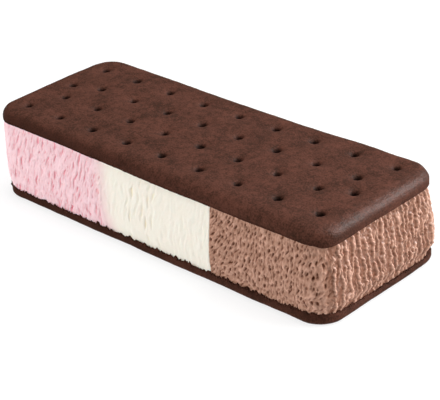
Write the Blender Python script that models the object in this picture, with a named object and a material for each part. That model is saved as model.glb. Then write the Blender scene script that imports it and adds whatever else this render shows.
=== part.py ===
"""Ice cream sandwich: a slab of three flavours of ice cream between two soft docked wafers.

Metres, +Z up.  The origin is the middle of the underside, +X runs along the length from the
strawberry end to the chocolate end, and -Y is the front long side.
"""

import math

import bmesh
import bpy

# ---- driving dimensions (metres) -----------------------------------------------------------

LENGTH = 0.1234            # both wafers, end to end
WIDTH = 0.0466             # both wafers, front to back
CORNER_RADIUS = 0.0074     # plan corners of wafers and ice cream

TOP_WAFER = 0.0040         # thickness of the upper wafer
BOTTOM_WAFER = 0.0027      # thickness of the lower wafer, pressed thinner by the weight on it
HEIGHT = 0.0273            # whole sandwich
GAP = 0.0003               # clearance between pieces that lie against each other

OUTER_EDGE = 0.0023        # rounding of a wafer's outer edge
INNER_EDGE = 0.0007        # rounding of the edge that meets the ice cream
EDGE_LAND = 0.0003         # upright stretch left between the two roundings

BULGE = 0.0009             # how far the slab's ends swell past the wafers
TUCK = 0.0003              # how far the slab sits in where it meets a wafer
SIDE_SHARE = 0.45          # the long sides swell by this share of the ends' swell
BULGE_SKEW = 0.75          # below 1 the slab is fullest below mid height
WAVE = 0.00025             # height of the slow uneven waves in the slab's skin
WAVE_ALONG = 0.019         # length of one wave along the slab
WAVE_ACROSS = 0.013        # length of one wave across it

STRAWBERRY_TOP = -0.0171   # where strawberry gives way to vanilla, at the upper wafer
STRAWBERRY_BOTTOM = -0.0162
CHOCOLATE_TOP = 0.0242     # where vanilla gives way to chocolate, at the upper wafer
CHOCOLATE_BOTTOM = 0.0229

# Docking holes: four long rows in a leaning grid, and one odd hole near each end.
PITCH = 0.0135             # along a row
ROW_GAP = 0.0100           # from one row to the next
LONG_ROW = 9               # holes in the rows by the long sides
SHORT_ROW = 8              # holes in the two rows between them
ROW_SHIFT = PITCH / 3      # how far each short row leans along the length
END_HOLE_OFFSET = 0.0020   # the two end holes stand this far off the middle line

PUCKER_RADIUS = 0.0020     # the dimple that the docking pin draws down
PUCKER_DEPTH = 0.00035
HOLE_RADIUS = 0.00095      # the hole at the bottom of the dimple
TIP_RADIUS = 0.00055
HOLE_SHARE = 0.6           # depth of a hole as a share of the wafer's thickness

# ---- fineness of the faceted solids --------------------------------------------------------

CORNER_STEPS = 6           # straight steps in a quarter of a plan corner
OUTER_EDGE_STEPS = 4       # straight steps in a wafer's rounded outer edge
INNER_EDGE_STEPS = 2
SLAB_LEVELS = 10           # layers of the ice cream from bottom to top
SLAB_SIDE_STEPS = 16       # straight steps along each long side of a flavour
SLAB_END_STEPS = 10        # straight steps across a round end between its corners
HOLE_SIDES = 10


def clear_scene():
    """Remove every object that the opened file holds."""
    for item in list(bpy.data.objects):
        bpy.data.objects.remove(item, do_unlink=True)


def make_material(name, colour, roughness):
    """Return a Principled material of one colour."""
    material = bpy.data.materials.new(name)
    material.use_nodes = True
    shader = material.node_tree.nodes["Principled BSDF"]
    shader.inputs["Base Color"].default_value = (*colour, 1.0)
    shader.inputs["Roughness"].default_value = roughness
    shader.inputs["Metallic"].default_value = 0.0
    material.diffuse_color = (*colour, 1.0)
    return material


def corner(centre_x, centre_y, radius_x, radius_y, first_degrees):
    """Return the points of a quarter turn, counter-clockwise from first_degrees."""
    points = []
    for step in range(CORNER_STEPS + 1):
        angle = math.radians(first_degrees + 90.0 * step / CORNER_STEPS)
        points.append((centre_x + radius_x * math.cos(angle), centre_y + radius_y * math.sin(angle)))
    return points


def straight(start, end, steps):
    """Return the points strictly between start and end that cut the run into equal steps."""
    points = []
    for step in range(1, steps):
        share = step / steps
        points.append((
            start[0] + (end[0] - start[0]) * share,
            start[1] + (end[1] - start[1]) * share,
        ))
    return points


def wafer_outline(inset):
    """Return a wafer's plan outline, drawn in by inset, counter-clockwise."""
    reach_x = LENGTH / 2 - CORNER_RADIUS
    reach_y = WIDTH / 2 - CORNER_RADIUS
    radius = CORNER_RADIUS - inset
    outline = []
    for sign_x, sign_y, first_degrees in ((1, -1, -90), (1, 1, 0), (-1, 1, 90), (-1, -1, 180)):
        outline += corner(sign_x * reach_x, sign_y * reach_y, radius, radius, first_degrees)
    return outline


def edge_profile(thickness):
    """Return (inset, height) pairs up a wafer's side, inner face at 0 and outer face at thickness."""
    profile = []
    for step in range(INNER_EDGE_STEPS + 1):
        angle = math.radians(90.0 * step / INNER_EDGE_STEPS)
        profile.append((INNER_EDGE * (1 - math.sin(angle)), INNER_EDGE * (1 - math.cos(angle))))
    rise = min(OUTER_EDGE, thickness - INNER_EDGE - EDGE_LAND)
    for step in range(OUTER_EDGE_STEPS + 1):
        angle = math.radians(90.0 * step / OUTER_EDGE_STEPS)
        profile.append((OUTER_EDGE * (1 - math.cos(angle)), thickness - rise * (1 - math.sin(angle))))
    return profile


def loft(name, rings, material):
    """Join rings of equal count into one closed body, capped at both ends, and name it."""
    shape = bmesh.new()
    layers = [[shape.verts.new(point) for point in ring] for ring in rings]
    count = len(layers[0])
    for lower, upper in zip(layers, layers[1:]):
        for index in range(count):
            following = (index + 1) % count
            shape.faces.new((lower[index], lower[following], upper[following], upper[index]))
    shape.faces.new(layers[0][::-1])
    shape.faces.new(layers[-1])
    bmesh.ops.recalc_face_normals(shape, faces=shape.faces)
    mesh = bpy.data.meshes.new(name)
    shape.to_mesh(mesh)
    shape.free()
    mesh.materials.append(material)
    body = bpy.data.objects.new(name, mesh)
    bpy.context.scene.collection.objects.link(body)
    return body


def docking_points():
    """Return the (x, y) of every docking hole.  The grid looks the same turned half round."""
    points = []
    for index in range(LONG_ROW):
        along = (index - (LONG_ROW - 1) / 2) * PITCH
        points.append((along, -1.5 * ROW_GAP))
        points.append((along, 1.5 * ROW_GAP))
    for index in range(SHORT_ROW):
        along = (index - (LONG_ROW - 1) / 2) * PITCH
        points.append((along + ROW_SHIFT, -0.5 * ROW_GAP))
        points.append((along + 2 * ROW_SHIFT, 0.5 * ROW_GAP))
    end = (LONG_ROW - 1) / 2 * PITCH
    points.append((-end, END_HOLE_OFFSET))
    points.append((end, -END_HOLE_OFFSET))
    return points


def docking_cutter(name, face, direction, thickness):
    """Return one cutter for all holes of a wafer whose outer face lies at height face.

    direction is +1 where the outer face looks up and -1 where it looks down.
    """
    above = PUCKER_DEPTH
    slope = (PUCKER_RADIUS - HOLE_RADIUS) / PUCKER_DEPTH
    profile = (
        (PUCKER_RADIUS + slope * above, -above),
        (HOLE_RADIUS, PUCKER_DEPTH),
        (TIP_RADIUS, HOLE_SHARE * thickness),
    )
    shape = bmesh.new()
    for along, across in docking_points():
        rings = []
        for radius, depth in profile:
            ring = []
            for side in range(HOLE_SIDES):
                angle = 2 * math.pi * side / HOLE_SIDES
                place = (
                    along + radius * math.cos(angle),
                    across + radius * math.sin(angle),
                    face - direction * depth,
                )
                ring.append(shape.verts.new(place))
            rings.append(ring)
        for upper, lower in zip(rings, rings[1:]):
            for side in range(HOLE_SIDES):
                following = (side + 1) % HOLE_SIDES
                shape.faces.new((upper[side], upper[following], lower[following], lower[side]))
        shape.faces.new(rings[0])
        shape.faces.new(rings[-1])
    bmesh.ops.recalc_face_normals(shape, faces=shape.faces)
    mesh = bpy.data.meshes.new(name)
    shape.to_mesh(mesh)
    shape.free()
    cutter = bpy.data.objects.new(name, mesh)
    cutter.hide_render = True
    cutter.display_type = "WIRE"
    bpy.context.scene.collection.objects.link(cutter)
    return cutter


def make_wafer(name, inner_face, direction, thickness, material):
    """Build a wafer with its inner face at a height and its outer face up (+1) or down (-1)."""
    rings = []
    for inset, rise in edge_profile(thickness):
        height = inner_face + direction * rise
        rings.append([(x, y, height) for x, y in wafer_outline(inset)])
    wafer = loft(name, rings, material)
    outer_face = inner_face + direction * thickness
    docking = wafer.modifiers.new("docking", "BOOLEAN")
    docking.operation = "DIFFERENCE"
    docking.solver = "EXACT"
    docking.object = docking_cutter(name + "_pins", outer_face, direction, thickness)
    return wafer


def swell(share):
    """Return how far the slab's ends stand past the wafers, share running 0 to 1 upwards."""
    return -TUCK + (BULGE + TUCK) * math.sin(math.pi * share ** BULGE_SKEW)


def push_out(point, share):
    """Return a point of the slab's skin moved along its normal by the slow uneven waves."""
    reach_x = LENGTH / 2 - CORNER_RADIUS
    reach_y = WIDTH / 2 - CORNER_RADIUS
    core_x = min(max(point[0], -reach_x), reach_x)
    core_y = min(max(point[1], -reach_y), reach_y)
    normal_x = point[0] - core_x
    normal_y = point[1] - core_y
    length = math.hypot(normal_x, normal_y)
    along = math.sin(2 * math.pi * (point[0] / WAVE_ALONG + share))
    across = math.sin(2 * math.pi * (point[1] / WAVE_ACROSS - 1.5 * share))
    push = WAVE * math.sin(math.pi * share) * (along + across) / 2
    return (point[0] + push * normal_x / length, point[1] + push * normal_y / length)


def block_outline(share, west, east):
    """Return one level of an ice cream block, counter-clockwise from its front east corner.

    west and east are where the flat cuts against the next flavours stand.  None makes that
    end a round one instead, with the slab's own corners and swell.
    """
    end_swell = swell(share)
    side_swell = SIDE_SHARE * end_swell
    half_width = WIDTH / 2 + side_swell
    reach_x = LENGTH / 2 - CORNER_RADIUS
    reach_y = WIDTH / 2 - CORNER_RADIUS
    radius_x = CORNER_RADIUS + end_swell
    radius_y = CORNER_RADIUS + side_swell
    east_part = [(east, -half_width), (east, half_width)]
    west_part = [(west, half_width), (west, -half_width)]
    if east is None:
        front_corner = corner(reach_x, -reach_y, radius_x, radius_y, -90)
        back_corner = corner(reach_x, reach_y, radius_x, radius_y, 0)
        end = straight(front_corner[-1], back_corner[0], SLAB_END_STEPS)
        east_part = front_corner + end + back_corner
    if west is None:
        back_corner = corner(-reach_x, reach_y, radius_x, radius_y, 90)
        front_corner = corner(-reach_x, -reach_y, radius_x, radius_y, 180)
        end = straight(back_corner[-1], front_corner[0], SLAB_END_STEPS)
        west_part = back_corner + end + front_corner
    front = straight(west_part[-1], east_part[0], SLAB_SIDE_STEPS)
    back = straight(east_part[-1], west_part[0], SLAB_SIDE_STEPS)
    return [push_out(point, share) for point in east_part + back + west_part + front]


def make_block(name, west, east, material):
    """Build one flavour; west and east are (bottom, top) positions, or None for a round end."""
    bottom = BOTTOM_WAFER + GAP
    top = HEIGHT - TOP_WAFER - GAP
    rings = []
    for level in range(SLAB_LEVELS + 1):
        share = level / SLAB_LEVELS
        west_x = None if west is None else west[0] + (west[1] - west[0]) * share
        east_x = None if east is None else east[0] + (east[1] - east[0]) * share
        outline = block_outline(share, west_x, east_x)
        rings.append([(x, y, bottom + (top - bottom) * share) for x, y in outline])
    return loft(name, rings, material)


def main():
    """Build the five pieces."""
    clear_scene()
    wafer = make_material("chocolate_wafer", (0.105, 0.047, 0.031), 0.6)
    strawberry = make_material("strawberry_ice_cream", (0.85, 0.55, 0.59), 0.5)
    vanilla = make_material("vanilla_ice_cream", (0.88, 0.83, 0.71), 0.5)
    chocolate = make_material("chocolate_ice_cream", (0.38, 0.20, 0.14), 0.5)

    make_wafer("wafer_bottom", BOTTOM_WAFER, -1, BOTTOM_WAFER, wafer)
    make_wafer("wafer_top", HEIGHT - TOP_WAFER, 1, TOP_WAFER, wafer)

    half_gap = GAP / 2
    make_block(
        "ice_cream_strawberry",
        None,
        (STRAWBERRY_BOTTOM - half_gap, STRAWBERRY_TOP - half_gap),
        strawberry,
    )
    make_block(
        "ice_cream_vanilla",
        (STRAWBERRY_BOTTOM + half_gap, STRAWBERRY_TOP + half_gap),
        (CHOCOLATE_BOTTOM - half_gap, CHOCOLATE_TOP - half_gap),
        vanilla,
    )
    make_block(
        "ice_cream_chocolate",
        (CHOCOLATE_BOTTOM + half_gap, CHOCOLATE_TOP + half_gap),
        None,
        chocolate,
    )


main()
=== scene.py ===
"""Looks of an ice cream sandwich: docked chocolate wafers round a slab of three flavours.

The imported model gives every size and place.  Each piece is grown by a node tree from named
sizes, turned into a plain mesh and dressed with a procedural finish.
"""
import sys
import logging
import math
from dataclasses import dataclass, fields
from enum import Enum
from typing import ClassVar, Dict, List, Sequence, Tuple, Union

import bpy
from mathutils import Matrix, Vector


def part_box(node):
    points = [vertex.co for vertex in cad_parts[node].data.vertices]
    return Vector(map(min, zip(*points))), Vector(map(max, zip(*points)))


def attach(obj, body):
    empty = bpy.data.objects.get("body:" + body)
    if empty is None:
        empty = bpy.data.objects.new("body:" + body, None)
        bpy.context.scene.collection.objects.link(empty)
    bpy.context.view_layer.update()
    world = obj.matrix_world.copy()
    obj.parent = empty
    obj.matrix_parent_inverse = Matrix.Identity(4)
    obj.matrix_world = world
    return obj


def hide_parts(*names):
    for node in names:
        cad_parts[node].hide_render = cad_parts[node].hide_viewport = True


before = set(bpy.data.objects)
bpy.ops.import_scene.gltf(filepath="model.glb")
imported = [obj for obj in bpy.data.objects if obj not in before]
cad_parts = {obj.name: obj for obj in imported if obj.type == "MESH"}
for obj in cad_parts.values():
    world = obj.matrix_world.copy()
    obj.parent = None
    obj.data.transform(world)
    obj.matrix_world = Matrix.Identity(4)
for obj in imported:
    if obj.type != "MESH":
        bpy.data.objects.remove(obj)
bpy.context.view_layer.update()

LOG = logging.getLogger("ice_cream_sandwich")
MM = 0.001
BODY = "root"
TINY = 1e-6
DISORDER = 0.85
QUARTER = math.pi / 2
WHITE = (1.0, 1.0, 1.0, 1.0)

Triple = Tuple[float, float, float]
Value = Union[float, "Field"]


# ---- node graphs ----


class Field:
    """One output of a node graph, which formulas can be written with."""

    def __init__(self, graph: "Graph", socket: bpy.types.NodeSocket) -> None:
        """Keep the graph and the socket that the value comes out of."""
        self.graph = graph
        self.socket = socket

    def __add__(self, other: Value) -> "Field":
        """Return self + other."""
        return compute("ADD", self, other)

    def __radd__(self, other: Value) -> "Field":
        """Return other + self."""
        return compute("ADD", other, self)

    def __sub__(self, other: Value) -> "Field":
        """Return self - other."""
        return compute("SUBTRACT", self, other)

    def __rsub__(self, other: Value) -> "Field":
        """Return other - self."""
        return compute("SUBTRACT", other, self)

    def __mul__(self, other: Value) -> "Field":
        """Return self * other."""
        return compute("MULTIPLY", self, other)

    def __rmul__(self, other: Value) -> "Field":
        """Return other * self."""
        return compute("MULTIPLY", other, self)

    def __truediv__(self, other: Value) -> "Field":
        """Return self / other."""
        return compute("DIVIDE", self, other)

    def __rtruediv__(self, other: Value) -> "Field":
        """Return other / self."""
        return compute("DIVIDE", other, self)

    def __abs__(self) -> "Field":
        """Return self without its sign."""
        return compute("ABSOLUTE", self)


class Graph:
    """Adds nodes to one node tree and links them."""

    def __init__(self, tree: bpy.types.NodeTree) -> None:
        """Keep the tree that the nodes go into."""
        self.tree = tree

    def feed(self, socket: bpy.types.NodeSocket, value: object) -> None:
        """Link a field to a socket, or set the socket to a constant.

        Args:
            socket: the input to fill.
            value: a Field, or a constant of the socket's kind.
        """
        if isinstance(value, Field):
            self.tree.links.new(value.socket, socket)
        else:
            socket.default_value = value

    def node(self, kind: str, inputs: Dict[object, object], **settings: object) -> bpy.types.Node:
        """Add one node.

        Args:
            kind: the node's type name.
            inputs: what goes into its sockets, by name or number.
            settings: the node's own properties.

        Returns:
            The new node.
        """
        node = self.tree.nodes.new(kind)
        for name, setting in settings.items():
            setattr(node, name, setting)
        for name, value in inputs.items():
            self.feed(node.inputs[name], value)
        return node

    def out(self, node: bpy.types.Node, output: object = 0) -> Field:
        """Return one output of a node as a field."""
        return Field(self, node.outputs[output])

    def result(self, kind: str, inputs: Dict[object, object], **settings: object) -> Field:
        """Add a node as node() does, and return its first output."""
        return self.out(self.node(kind, inputs, **settings))


def graph_of(*values: Value) -> Graph:
    """Return the graph of the first field among some values."""
    return next(value.graph for value in values if isinstance(value, Field))


def compute(operation: str, *operands: Value) -> Field:
    """Return the result of a math node; at least one operand is a field."""
    inputs = dict(enumerate(operands))
    return graph_of(*operands).result("ShaderNodeMath", inputs, operation=operation)


def sine(angle: Field) -> Field:
    """Return the sine of an angle in radians."""
    return compute("SINE", angle)


def cosine(angle: Field) -> Field:
    """Return the cosine of an angle in radians."""
    return compute("COSINE", angle)


def sign(value: Field) -> Field:
    """Return -1, 0 or 1 as a value is below, at or above zero."""
    return compute("SIGN", value)


def least(first: Value, second: Value) -> Field:
    """Return the smaller of two values."""
    return compute("MINIMUM", first, second)


def most(first: Value, second: Value) -> Field:
    """Return the larger of two values."""
    return compute("MAXIMUM", first, second)


def over(value: Value, limit: Value) -> Field:
    """Return 1 where a value is above a limit, and 0 elsewhere."""
    return compute("GREATER_THAN", value, limit)


def within(value: Value, low: Value, high: Value) -> Field:
    """Return a value held between two limits."""
    return least(most(value, low), high)


def hypotenuse(first: Field, second: Field) -> Field:
    """Return the length of a vector with these two parts."""
    return compute("SQRT", first * first + second * second)


def blend(first: Value, second: Value, share: Field) -> Field:
    """Return first where share is 0 and second where it is 1."""
    return first + (second - first) * share


def ease(value: Field, low: Value, high: Value) -> Field:
    """Return 0 at low and 1 at high with a smooth step between; high may be the lower one."""
    inputs = {0: value, 1: low, 2: high, 3: 0.0, 4: 1.0}
    return value.graph.result("ShaderNodeMapRange", inputs, interpolation_type="SMOOTHSTEP")


def point(x: Value, y: Value, z: Value) -> Field:
    """Return a vector made of three values."""
    return graph_of(x, y, z).result("ShaderNodeCombineXYZ", {0: x, 1: y, 2: z})


def parts(vector: Field) -> List[Field]:
    """Return the three parts of a vector."""
    node = vector.graph.node("ShaderNodeSeparateXYZ", {0: vector})
    return [vector.graph.out(node, index) for index in range(3)]


def noise(place: Sequence[Value], detail: float = 2.0, roughness: float = 0.5) -> Field:
    """Return smooth noise of unit grain, mostly between -1 and 1.

    Args:
        place: three values; the noise changes over a length of about one.
        detail: how many finer layers are added.
        roughness: how strong each finer layer is.

    Returns:
        The noise.
    """
    graph = graph_of(*place)
    node = graph.node("ShaderNodeTexNoise", {
        "Vector": point(*place), "Scale": 1.0, "Detail": detail, "Roughness": roughness,
    })
    return (graph.out(node, "Fac") - 0.5) * 4.0


def flecks(across: Field, up: Field, wide: float, tall: float) -> Field:
    """Return scattered oval flecks, about one to a unit square and each of its own strength.

    Args:
        across: the first place on the sheet of flecks.
        up: the second place on the sheet of flecks.
        wide: the half width of a fleck.
        tall: the half height of a fleck.

    Returns:
        0 outside the flecks, rising softly to at most 1 in their middles.
    """
    graph = across.graph
    node = graph.node("ShaderNodeTexVoronoi", {
        "Vector": point(across, up, 0.0), "Scale": 1.0, "Randomness": DISORDER,
    }, voronoi_dimensions="2D", feature="F1")
    middle_across, middle_up, _ = parts(graph.out(node, "Position"))
    chance, _, _ = parts(graph.out(node, "Color"))
    from_middle = hypotenuse((across - middle_across) / wide, (up - middle_up) / tall)
    return ease(from_middle, 1.0, 0.15) * (0.35 + 0.65 * chance)


def comb(count: Field, foot: float, top: float) -> Field:
    """Return crests at whole numbers; foot and top go from 0 half way between them to 1 on one."""
    return ease(abs(compute("FRACT", count) - 0.5) * 2.0, foot, top)


def sizes_of(maker: object, prefix: str = "") -> Dict[str, float]:
    """Name a maker's float fields as a tree's inputs, so that back_edge becomes Back Edge.

    Args:
        maker: a dataclass with the sizes.
        prefix: what each name begins with.

    Returns:
        The sizes by name.
    """
    values = {item.name: getattr(maker, item.name) for item in fields(maker)}
    return {
        prefix + name.replace("_", " ").title(): value
        for name, value in values.items()
        if isinstance(value, float)
    }


class Shape(Graph):
    """A geometry node tree with named sizes that grows one mesh."""

    SOCKETS = {
        float: "NodeSocketFloat",
        int: "NodeSocketInt",
        bpy.types.Material: "NodeSocketMaterial",
    }

    def __init__(self, name: str, sizes: Dict[str, object]) -> None:
        """Make the tree and its named inputs.

        Args:
            name: the tree's name.
            sizes: the inputs by name, each with its value.
        """
        super().__init__(bpy.data.node_groups.new(name, "GeometryNodeTree"))
        self.name = name
        self.sizes = sizes
        for label, value in sizes.items():
            kind = self.SOCKETS[type(value)]
            self.tree.interface.new_socket(label, in_out="INPUT", socket_type=kind)
        self.tree.interface.new_socket("Mesh", in_out="OUTPUT", socket_type="NodeSocketGeometry")
        self.entry = self.tree.nodes.new("NodeGroupInput")

    def __getitem__(self, label: str) -> Field:
        """Return the named input."""
        return self.out(self.entry, label)

    def position(self) -> List[Field]:
        """Return the x, y and z of each point."""
        return parts(self.result("GeometryNodeInputPosition", {}))

    def move(self, mesh: Field, place: Field) -> Field:
        """Return the mesh with its points at place."""
        return self.result("GeometryNodeSetPosition", {"Geometry": mesh, "Position": place})

    def remember(self, mesh: Field, name: str, value: Value) -> Field:
        """Return the mesh with a value stored on its points under a name."""
        inputs = {"Geometry": mesh, "Name": name, "Value": value}
        return self.result("GeometryNodeStoreNamedAttribute", inputs)

    def join(self, meshes: Sequence[Field]) -> Field:
        """Join several meshes.

        Args:
            meshes: the meshes.

        Returns:
            One mesh that holds them all.
        """
        node = self.node("GeometryNodeJoinGeometry", {})
        for mesh in meshes:
            self.tree.links.new(mesh.socket, node.inputs[0])
        return self.out(node)

    def finish(self, mesh: Field) -> bpy.types.Object:
        """End the tree, run it and return its result as a plain object.

        Args:
            mesh: the geometry that the tree has made.

        Returns:
            An object at the origin that holds a plain mesh.
        """
        smooth = self.result("GeometryNodeSetShadeSmooth", {"Geometry": mesh})
        real = self.result("GeometryNodeRealizeInstances", {"Geometry": smooth})
        inputs = {"Geometry": real, "Material": self["Finish"]}
        self.node("NodeGroupOutput", {"Mesh": self.result("GeometryNodeSetMaterial", inputs)})

        host = bpy.data.objects.new(self.name, bpy.data.meshes.new(self.name))
        bpy.context.scene.collection.objects.link(host)
        modifier = host.modifiers.new("grow", "NODES")
        modifier.node_group = self.tree
        for item in self.tree.interface.items_tree:
            if item.item_type == "SOCKET" and item.in_out == "INPUT":
                modifier[item.identifier] = self.sizes[item.name]
        depsgraph = bpy.context.evaluated_depsgraph_get()
        plain = bpy.data.meshes.new_from_object(
            host.evaluated_get(depsgraph), preserve_all_data_layers=True, depsgraph=depsgraph
        )
        host.modifiers.remove(modifier)
        host.data = plain
        plain.name = self.name
        return host


# ---- finishes ----


class Paint(Graph):
    """A material's node tree with its shader."""

    def __init__(self, name: str) -> None:
        """Make a material and find its shader.

        Args:
            name: the material's name.
        """
        self.material = bpy.data.materials.new(name)
        self.material.use_nodes = True
        super().__init__(self.material.node_tree)
        self.shader = self.tree.nodes["Principled BSDF"]

    def place(self) -> Field:
        """Read the object's own coordinates.

        Returns:
            The place in millimetres.
        """
        place = self.out(self.node("ShaderNodeTexCoord", {}), "Object")
        inputs = {0: place, "Scale": 1.0 / MM}
        return self.result("ShaderNodeVectorMath", inputs, operation="SCALE")

    def stored(self, name: str) -> Field:
        """Return a value that the mesh carries on its points."""
        node = self.node("ShaderNodeAttribute", {}, attribute_name=name)
        return self.out(node, "Fac")

    def mix(self, first: object, second: object, share: Value) -> Field:
        """Return a mix of two colours.

        Args:
            first: a colour or a field, shown where share is 0.
            second: a colour or a field, shown where share is 1.
            share: how much of the second colour shows.

        Returns:
            The mixed colour.
        """
        node = self.tree.nodes.new("ShaderNodeMix")
        node.data_type = "RGBA"
        self.feed(node.inputs["Factor"], share)
        for socket, colour in ((node.inputs[6], first), (node.inputs[7], second)):
            self.feed(socket, colour if isinstance(colour, Field) else (*colour, 1.0))
        return self.out(node, 2)

    def bump(self, height: Field, reach: float, strength: float, under: object = None) -> Field:
        """Return normals bent by a height.

        Args:
            height: the height, about -1 to 1.
            reach: the depth in metres that a height of one stands for.
            strength: how much of the bend shows.
            under: normals that are bent already, if any.

        Returns:
            The bent normals.
        """
        inputs = {"Height": height, "Distance": reach, "Strength": strength}
        if under is not None:
            inputs["Normal"] = under
        return self.result("ShaderNodeBump", inputs)

    def set(self, socket: str, value: object) -> None:
        """Fill one of the shader's own sockets."""
        self.feed(self.shader.inputs[socket], value)


@dataclass(frozen=True)
class WaferFinish:
    """Soft baked chocolate wafer: dark, mottled and dull, with its shoulders rubbed smooth.

    The sizes of cloud, mottle and grain are in mm.
    """

    name: str = "chocolate_wafer"
    dark: Triple = (0.035, 0.0145, 0.0088)
    light: Triple = (0.101, 0.0375, 0.0250)
    # Painted shade colour for the cores of the docking holes.
    deep: Triple = (0.004, 0.0018, 0.0013)
    # Painted shade colour for the sides and foot, and how much of it shows.
    moist: Triple = (0.034, 0.0115, 0.0072)
    moist_share: float = 0.7
    cloud_size: float = 9.0
    mottle_size: float = 1.9
    grain_size: float = 0.45
    roughness: float = 0.85
    polish_gain: float = 0.49
    specular: float = 0.04
    wrinkle_depth: float = 0.06 * MM
    grain_depth: float = 0.05 * MM

    def build(self) -> bpy.types.Material:
        """Mix the finish.

        Returns:
            The material.
        """
        paint = Paint(self.name)
        x, y, z = parts(paint.place())
        cloud = noise([part / self.cloud_size for part in (x, y, z)], 3.0, 0.55)
        mottle = noise([part / self.mottle_size for part in (x, y, z)], 4.0, 0.6)
        grain = noise([part / self.grain_size for part in (x, y, z)], 2.0, 0.6)
        tone = ease(cloud * 0.35 + mottle * 0.45 + grain * 0.6, -0.8, 0.8)
        colour = paint.mix(self.dark, self.light, tone)
        # Painted shade on the sides, shoulders and foot, fading out towards the lit east end.
        colour = paint.mix(colour, self.moist, self.moist_share * paint.stored("moisture"))
        # Painted shade: the cores of the docking holes are darkened nearly to black.
        pit = paint.stored("pit")
        paint.set("Base Color", paint.mix(colour, self.deep, pit))
        dull = self.roughness - self.polish_gain * paint.stored("polish")
        dull = dull + 0.05 * mottle + 0.05 * grain
        paint.set("Roughness", dull + 0.3 * pit)
        paint.set("Specular IOR Level", self.specular)
        wrinkle = noise((x / 1.3, y / 2.2, z / 1.3), 4.0, 0.65)
        rough = paint.bump(wrinkle, self.wrinkle_depth, 0.8)
        paint.set("Normal", paint.bump(grain, self.grain_depth, 0.8, rough))
        return paint.material


@dataclass(frozen=True)
class IceCreamFinish:
    """Frozen ice cream with a little light passing through; its colour is paler on the crests, partly
    its own tint and partly painted highlight, and darker in the pits, partly its own tint and partly
    painted shade.

    Grey patches, where it has them, come in over grey_run along the length, in mm.
    """

    name: str
    # The crest and pit colours hold painted highlight and painted shade as well as the ice cream's
    # own tint.
    crest: Triple
    base: Triple
    pit: Triple
    neighbour: Triple = (0.0, 0.0, 0.0)
    grey: Triple = (0.0, 0.0, 0.0)
    grey_share: float = 0.0
    grey_run: Tuple[float, float] = (58.0, 61.0)
    roughness: float = 0.55
    specular: float = 0.3
    scatter: float = 0.15
    scatter_depth: float = 0.8 * MM
    scatter_radius: Triple = (1.0, 0.6, 0.5)
    grain_depth: float = 0.04 * MM
    pit_level: float = 0.0
    base_level: float = 0.5
    blotch: float = 0.03

    def build(self) -> bpy.types.Material:
        """Mix the finish.

        Returns:
            The material.
        """
        paint = Paint(self.name)
        x, y, z = parts(paint.place())
        relief = paint.stored("relief")
        grain = noise((x / 0.5, y / 0.5, z / 0.7), 3.0, 0.6)
        cloud = noise((x / 3.0, y / 3.0, z / 5.0), 3.0, 0.5)
        height = relief + grain * 0.03 + cloud * self.blotch
        # Painted shade and highlight: the colour darkens in the pits and pales on the crests as the
        # relief falls and rises, partly the ice cream's own tint.
        depth = ease(height, self.pit_level, self.base_level)
        colour = paint.mix(self.pit, self.base, depth)
        colour = paint.mix(colour, self.crest, ease(height, 0.5, 0.95))
        if self.grey_share > 0.0:
            patch = noise((x / 1.4, y / 1.4, z / 2.6 + 5.0), 2.0)
            share = ease(patch, 0.0, 0.9) * ease(relief, 0.7, 0.3) * self.grey_share
            share = share * ease(x, *self.grey_run)
            colour = paint.mix(colour, self.grey, share)
        colour = paint.mix(colour, self.neighbour, paint.stored("stray"))
        paint.set("Base Color", colour)
        paint.set("Roughness", self.roughness + grain * 0.1)
        paint.set("Specular IOR Level", self.specular)
        paint.set("Subsurface Weight", self.scatter)
        paint.set("Subsurface Radius", self.scatter_radius)
        paint.set("Subsurface Scale", self.scatter_depth)
        paint.set("Normal", paint.bump(grain, self.grain_depth, 0.6))
        return paint.material


@dataclass(frozen=True)
class FloorFinish:
    """Plain white sweep with a little light of its own, so that shadows on it stay faint."""

    name: str = "white_sweep"

    def build(self) -> bpy.types.Material:
        """Mix the finish.

        Returns:
            The material.
        """
        paint = Paint(self.name)
        x, y, _ = parts(paint.place())
        away = hypotenuse(x, y)
        paint.set("Base Color", (0.25, 0.25, 0.25, 1.0))
        paint.set("Emission Color", WHITE)
        paint.set("Emission Strength", 0.78 + 0.22 * ease(away, 200.0, 900.0))
        paint.set("Roughness", 0.9)
        paint.set("Specular IOR Level", 0.0)
        return paint.material


# ---- wafers ----


class Facing(Enum):
    """Which way a wafer's outer face looks."""

    UP = 1.0
    DOWN = -1.0


@dataclass(frozen=True)
class Rim:
    """How far a wafer's rim laps over the ice cream.

    The lip is the sides' lap.  The end lip takes over along lap_run past lap_start, and the far
    lip at the back of the chocolate end.
    """

    lip: float
    end_lip: float
    far_lip: float
    lap_start: float
    lap_run: float


class RimTree(Shape):
    """A tree that has a rim's sizes among its inputs."""

    FAR_RUN = (-27.0 * MM, 3.0 * MM)

    def lap(self, lip: Field, x: Field, y: Field, on_end: Field) -> Tuple[Field, Field]:
        """Return how far the rim laps over the ice cream at a place.

        Args:
            lip: the lap along the sides.
            x: place along the length.
            y: place across.
            on_end: 1 on the chocolate end and 0 away from it.

        Returns:
            The lap, and how much of the end's lap is in it before the far corner's share.
        """
        start = self["Lap Start"]
        end_share = ease(x, start, start + self["Lap Run"])
        lap = blend(lip, self["End Lip"], end_share)
        far_share = ease(y, *self.FAR_RUN) * on_end
        return blend(lap, self["Far Lip"], far_share), end_share


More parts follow.
